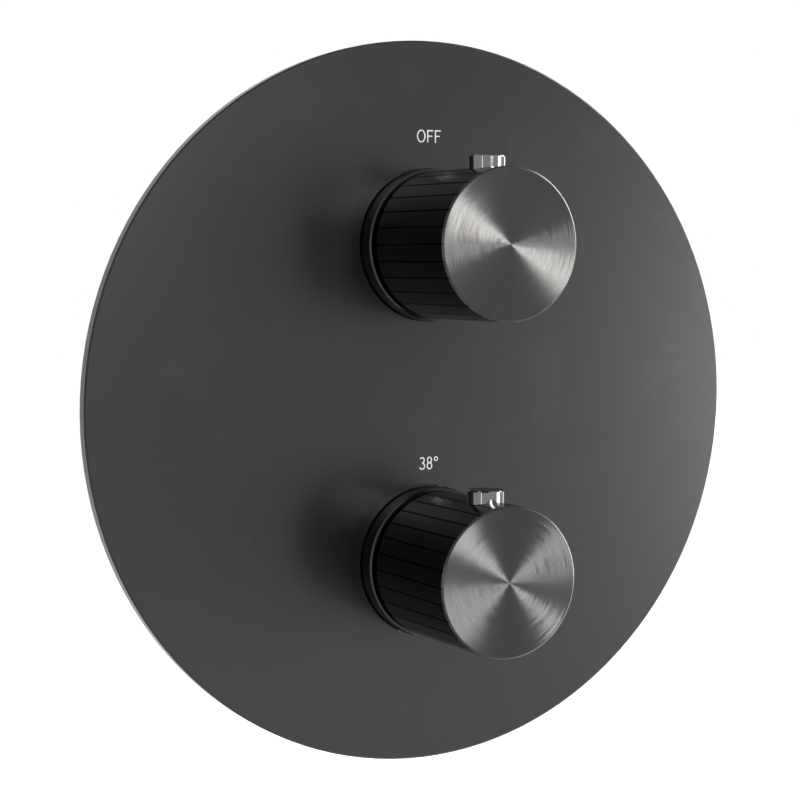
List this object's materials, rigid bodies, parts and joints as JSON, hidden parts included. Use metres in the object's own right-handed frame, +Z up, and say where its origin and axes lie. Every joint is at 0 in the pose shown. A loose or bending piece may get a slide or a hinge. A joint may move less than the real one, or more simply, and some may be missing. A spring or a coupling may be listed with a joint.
{
  "type": "thermostatic shower valve",
  "caption": "Concealed thermostatic shower valve: round cover plate with a flow and diverter knob above a temperature knob, each with a push button, over a brass body.",
  "frame": {"origin": "centre of the cover plate's back face, in the plane of the finished wall", "axes": "+Z up, +X to the right as seen by the user, +Y into the wall; the knobs stand out towards -Y"},
  "size_m": [0.2, 0.1185, 0.2],
  "materials": {
    "plate_metal": "satin gunmetal coating over steel",
    "sleeve_metal": "satin gunmetal coating",
    "knob_metal": "satin gunmetal flank, spun brushed face",
    "button_chrome": "polished chrome",
    "brass": "turned",
    "cast_brass": "cast and blasted, machined ends",
    "zinc_steel": "zinc plated",
    "screw_steel": "plain stainless",
    "spring_steel": "drawn wire",
    "white_plastic": "moulded acetal",
    "dark_plastic": "moulded acetal",
    "seal_rubber": "matt rubber",
    "foam": "closed cell foam",
    "ceramic": "lapped alumina ceramic"
  },
  "bodies": {
    "valve": {"cover_plate": "plate_metal", "wall_gasket": "foam", "sleeve_upper": "sleeve_metal", "sleeve_lower": "sleeve_metal", "sleeve_seals": "seal_rubber", "flow_cartridge_nut": "brass", "temperature_cartridge_nut": "brass", "flow_stop_ring": "dark_plastic", "temperature_stop_ring": "dark_plastic", "stop_ring_clips": "spring_steel", "flow_housing": "white_plastic", "temperature_housing": "white_plastic", "cartridge_seals": "seal_rubber", "fixed_disc": "ceramic", "seat_seal": "seal_rubber", "return_spring": "spring_steel", "valve_body": "cast_brass", "hot_check_housing": "white_plastic", "hot_check_spring": "spring_steel", "cold_check_housing": "white_plastic", "cold_check_spring": "spring_steel", "inlet_filters": "screw_steel", "mounting_bracket": "zinc_steel", "bracket_screws": "zinc_steel"},
    "flow_control": {"flow_knob": "knob_metal", "flow_insert": "white_plastic", "flow_grub_screw": "screw_steel", "flow_button_spring": "spring_steel", "flow_spindle": "brass", "moving_disc": "ceramic"},
    "flow_push": {"flow_button": "button_chrome", "flow_catch": "dark_plastic"},
    "temperature_control": {"temperature_knob": "knob_metal", "temperature_insert": "white_plastic", "temperature_grub_screw": "screw_steel", "temperature_button_spring": "spring_steel", "temperature_spindle": "brass"},
    "temperature_push": {"temperature_button": "button_chrome", "temperature_catch": "dark_plastic"},
    "thermostat": {"drive_nut": "brass", "overload_spring": "spring_steel", "wax_element": "brass", "mixing_piston": "screw_steel"},
    "hot_check": {"hot_poppet": "dark_plastic"},
    "cold_check": {"cold_poppet": "dark_plastic"}
  },
  "joints": [
    {"name": "flow_turn", "type": "hinge", "parent": "valve", "child": "flow_control", "pos_m": [0, -0.03, 0.044], "axis": [0, -1, 0], "range_deg": [-90, 90]},
    {"name": "flow_button_press", "type": "slide", "parent": "flow_control", "child": "flow_push", "axis": [0, 0, -1], "range_m": [0, 0.0024], "stiffness_N_per_m": 800, "springref_m": -0.002, "deforming": ["flow_button_spring"]},
    {"name": "temperature_turn", "type": "hinge", "parent": "valve", "child": "temperature_control", "pos_m": [0, -0.03, -0.044], "axis": [0, -1, 0], "range_deg": [-150, 90]},
    {"name": "temperature_button_press", "type": "slide", "parent": "temperature_control", "child": "temperature_push", "axis": [0, 0, -1], "range_m": [0, 0.0024], "stiffness_N_per_m": 800, "springref_m": -0.002, "deforming": ["temperature_button_spring"]},
    {"name": "thermostat_slide", "type": "slide", "parent": "valve", "child": "thermostat", "axis": [0, 1, 0], "range_m": [-0.0009, 0.00055], "deforming": ["return_spring"]},
    {"name": "hot_check_slide", "type": "slide", "parent": "valve", "child": "hot_check", "axis": [1, 0, 0], "range_m": [0, 0.0025], "stiffness_N_per_m": 60, "springref_m": -0.002, "deforming": ["hot_check_spring"]},
    {"name": "cold_check_slide", "type": "slide", "parent": "valve", "child": "cold_check", "axis": [-1, 0, 0], "range_m": [0, 0.0025], "stiffness_N_per_m": 60, "springref_m": -0.002, "deforming": ["cold_check_spring"]}
  ],
  "couplings": [
    {"joint": "thermostat_slide", "follows": "temperature_turn", "m_per_rad": 0.0003183}
  ]
}
